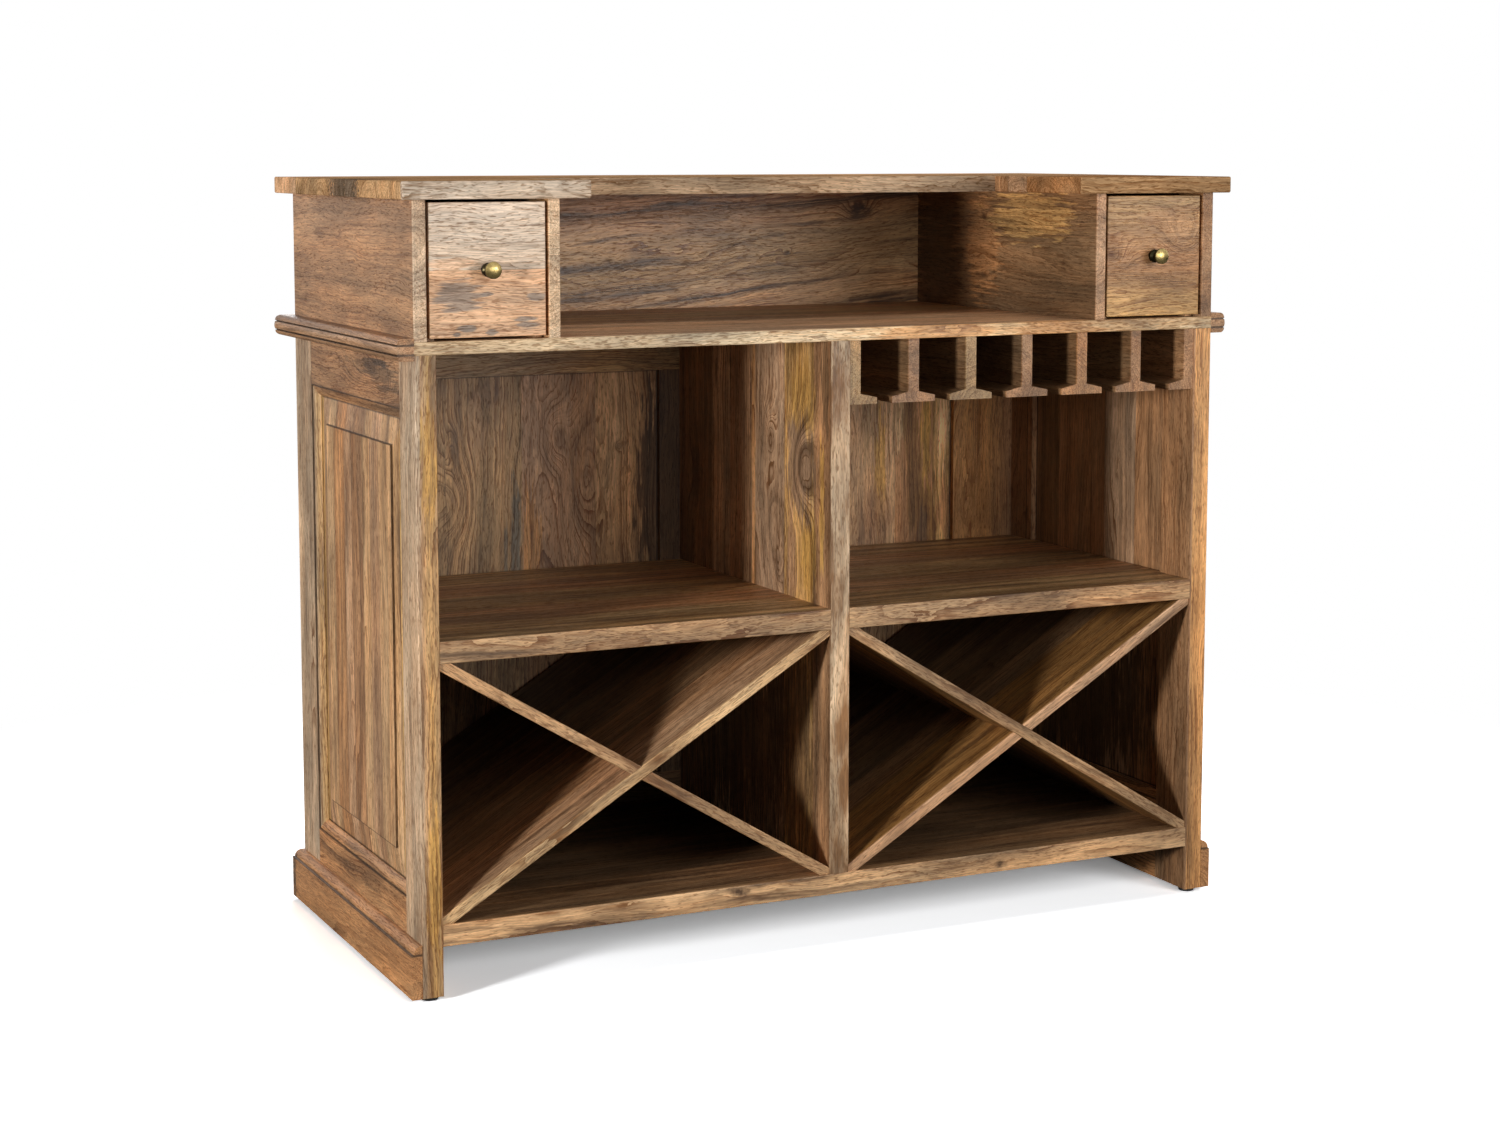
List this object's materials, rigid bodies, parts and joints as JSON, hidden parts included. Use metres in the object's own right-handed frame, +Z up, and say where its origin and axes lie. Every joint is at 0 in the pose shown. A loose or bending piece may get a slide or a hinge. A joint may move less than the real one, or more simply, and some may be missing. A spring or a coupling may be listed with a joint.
{
  "type": "bar cabinet",
  "caption": "Free-standing wooden bar with a U-shaped bar top, inset drawers with knobs, open shelves, a hanging stemware rack and crossed bottle bins, panelled towards the customer.",
  "frame": {"origin": "on the floor under the middle of the case", "axes": "+Z up, +X to the right seen from the server's side, +Y to the customer's side; drawers open to -Y"},
  "size_m": [1.31, 0.6055, 1.1],
  "materials": {
    "frame_wood": "satin",
    "panel_wood": "satin",
    "shelf_wood": "satin",
    "bin_wood": "satin",
    "upper_wood": "satin",
    "top_wood": "satin",
    "rack_wood": "satin",
    "drawer_front_wood": "satin",
    "drawer_wood": "matte",
    "brass": "antique, brushed",
    "glide_plastic": "matte"
  },
  "bodies": {
    "case": {"back_bottom_rail": "frame_wood", "back_centre_stile": "frame_wood", "back_plinth": "frame_wood", "back_top_rail": "frame_wood", "back_waist_moulding": "frame_wood", "bar_top_rear": "top_wood", "bottom_shelf": "shelf_wood", "centre_divider": "panel_wood", "deck": "shelf_wood", "foot_glides": "glide_plastic", "left_back_panel": "panel_wood", "left_back_stile": "frame_wood", "left_bar_top_wing": "top_wood", "left_bin_board_front_slotted": "bin_wood", "left_bin_board_rear_slotted": "bin_wood", "left_bottom_rail": "frame_wood", "left_front_stile": "frame_wood", "left_panel": "panel_wood", "left_partition": "upper_wood", "left_plinth": "frame_wood", "left_rear_stile": "frame_wood", "left_shelf": "shelf_wood", "left_top_rail": "frame_wood", "left_upper_side": "upper_wood", "left_waist_moulding": "frame_wood", "rack_end_left": "rack_wood", "rack_end_right": "rack_wood", "rack_rail_1": "rack_wood", "rack_rail_2": "rack_wood", "rack_rail_3": "rack_wood", "rack_rail_4": "rack_wood", "rack_rail_5": "rack_wood", "right_back_panel": "panel_wood", "right_back_stile": "frame_wood", "right_bar_top_wing": "top_wood", "right_bin_board_front_slotted": "bin_wood", "right_bin_board_rear_slotted": "bin_wood", "right_bottom_rail": "frame_wood", "right_front_stile": "frame_wood", "right_panel": "panel_wood", "right_partition": "upper_wood", "right_plinth": "frame_wood", "right_rear_stile": "frame_wood", "right_shelf": "shelf_wood", "right_top_rail": "frame_wood", "right_upper_side": "upper_wood", "right_waist_moulding": "frame_wood", "upper_back": "upper_wood"},
    "left_drawer": {"left_drawer_front": "drawer_front_wood", "left_drawer_outer_side": "drawer_wood", "left_drawer_inner_side": "drawer_wood", "left_drawer_back": "drawer_wood", "left_drawer_bottom": "drawer_wood", "left_drawer_knob": "brass"},
    "right_drawer": {"right_drawer_front": "drawer_front_wood", "right_drawer_outer_side": "drawer_wood", "right_drawer_inner_side": "drawer_wood", "right_drawer_back": "drawer_wood", "right_drawer_bottom": "drawer_wood", "right_drawer_knob": "brass"}
  },
  "joints": [
    {"name": "left_drawer_slide", "type": "slide", "parent": "case", "child": "left_drawer", "axis": [0, -1, 0], "range_m": [0, 0.38]},
    {"name": "right_drawer_slide", "type": "slide", "parent": "case", "child": "right_drawer", "axis": [0, -1, 0], "range_m": [0, 0.38]}
  ]
}
